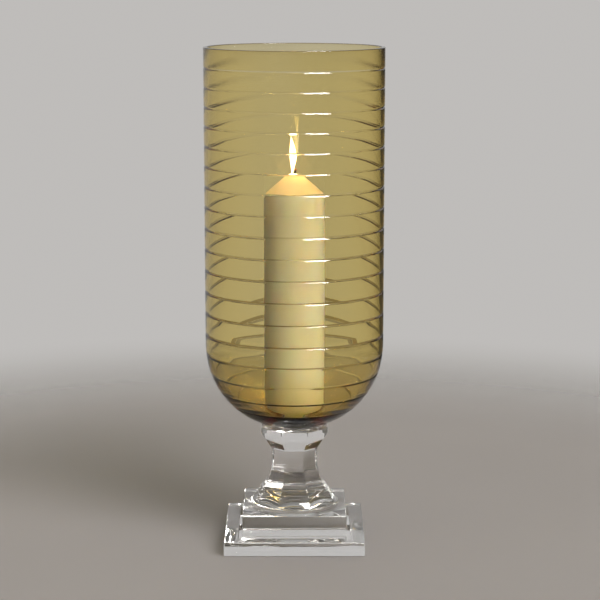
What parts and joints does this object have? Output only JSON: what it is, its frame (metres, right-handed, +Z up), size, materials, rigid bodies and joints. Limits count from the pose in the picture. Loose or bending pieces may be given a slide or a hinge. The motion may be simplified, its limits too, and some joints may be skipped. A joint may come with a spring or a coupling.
{
  "type": "hurricane candle lantern",
  "caption": "Tall amber glass hurricane shade with cut rings, on a clear faceted stem and stepped square plinth, holding a pillar candle.",
  "frame": {"origin": "centre of the square plinth's underside, where the lantern stands", "axes": "+Z up along the shade's and the candle's axis; -Y is the front, square to one side of the plinth; +X is to the right seen from the front"},
  "size_m": [0.15, 0.15, 0.4169],
  "materials": {
    "amber_glass": "polished amber glass with polished V-cut rings, darker where the bowl's bottom is thick",
    "clear_crystal": "polished clear crystal with cut facets and lightly rounded edges",
    "ivory_wax": "smooth translucent ivory wax with a soft sheen",
    "wick_braid": "braided cotton, waxed below and charred at the tip",
    "tinned_steel": "thin stamped tinplate"
  },
  "bodies": {
    "lantern": {"amber_shade": "amber_glass", "pedestal_stem": "clear_crystal", "upper_plinth": "clear_crystal", "lower_plinth": "clear_crystal"},
    "candle": {"candle_wax": "ivory_wax", "candle_wick": "wick_braid", "wick_sustainer": "tinned_steel"}
  },
  "joints": [
    {"name": "candle_lift", "type": "slide", "parent": "lantern", "child": "candle", "axis": [0, 0, 1], "range_m": [0, 0.32]}
  ]
}
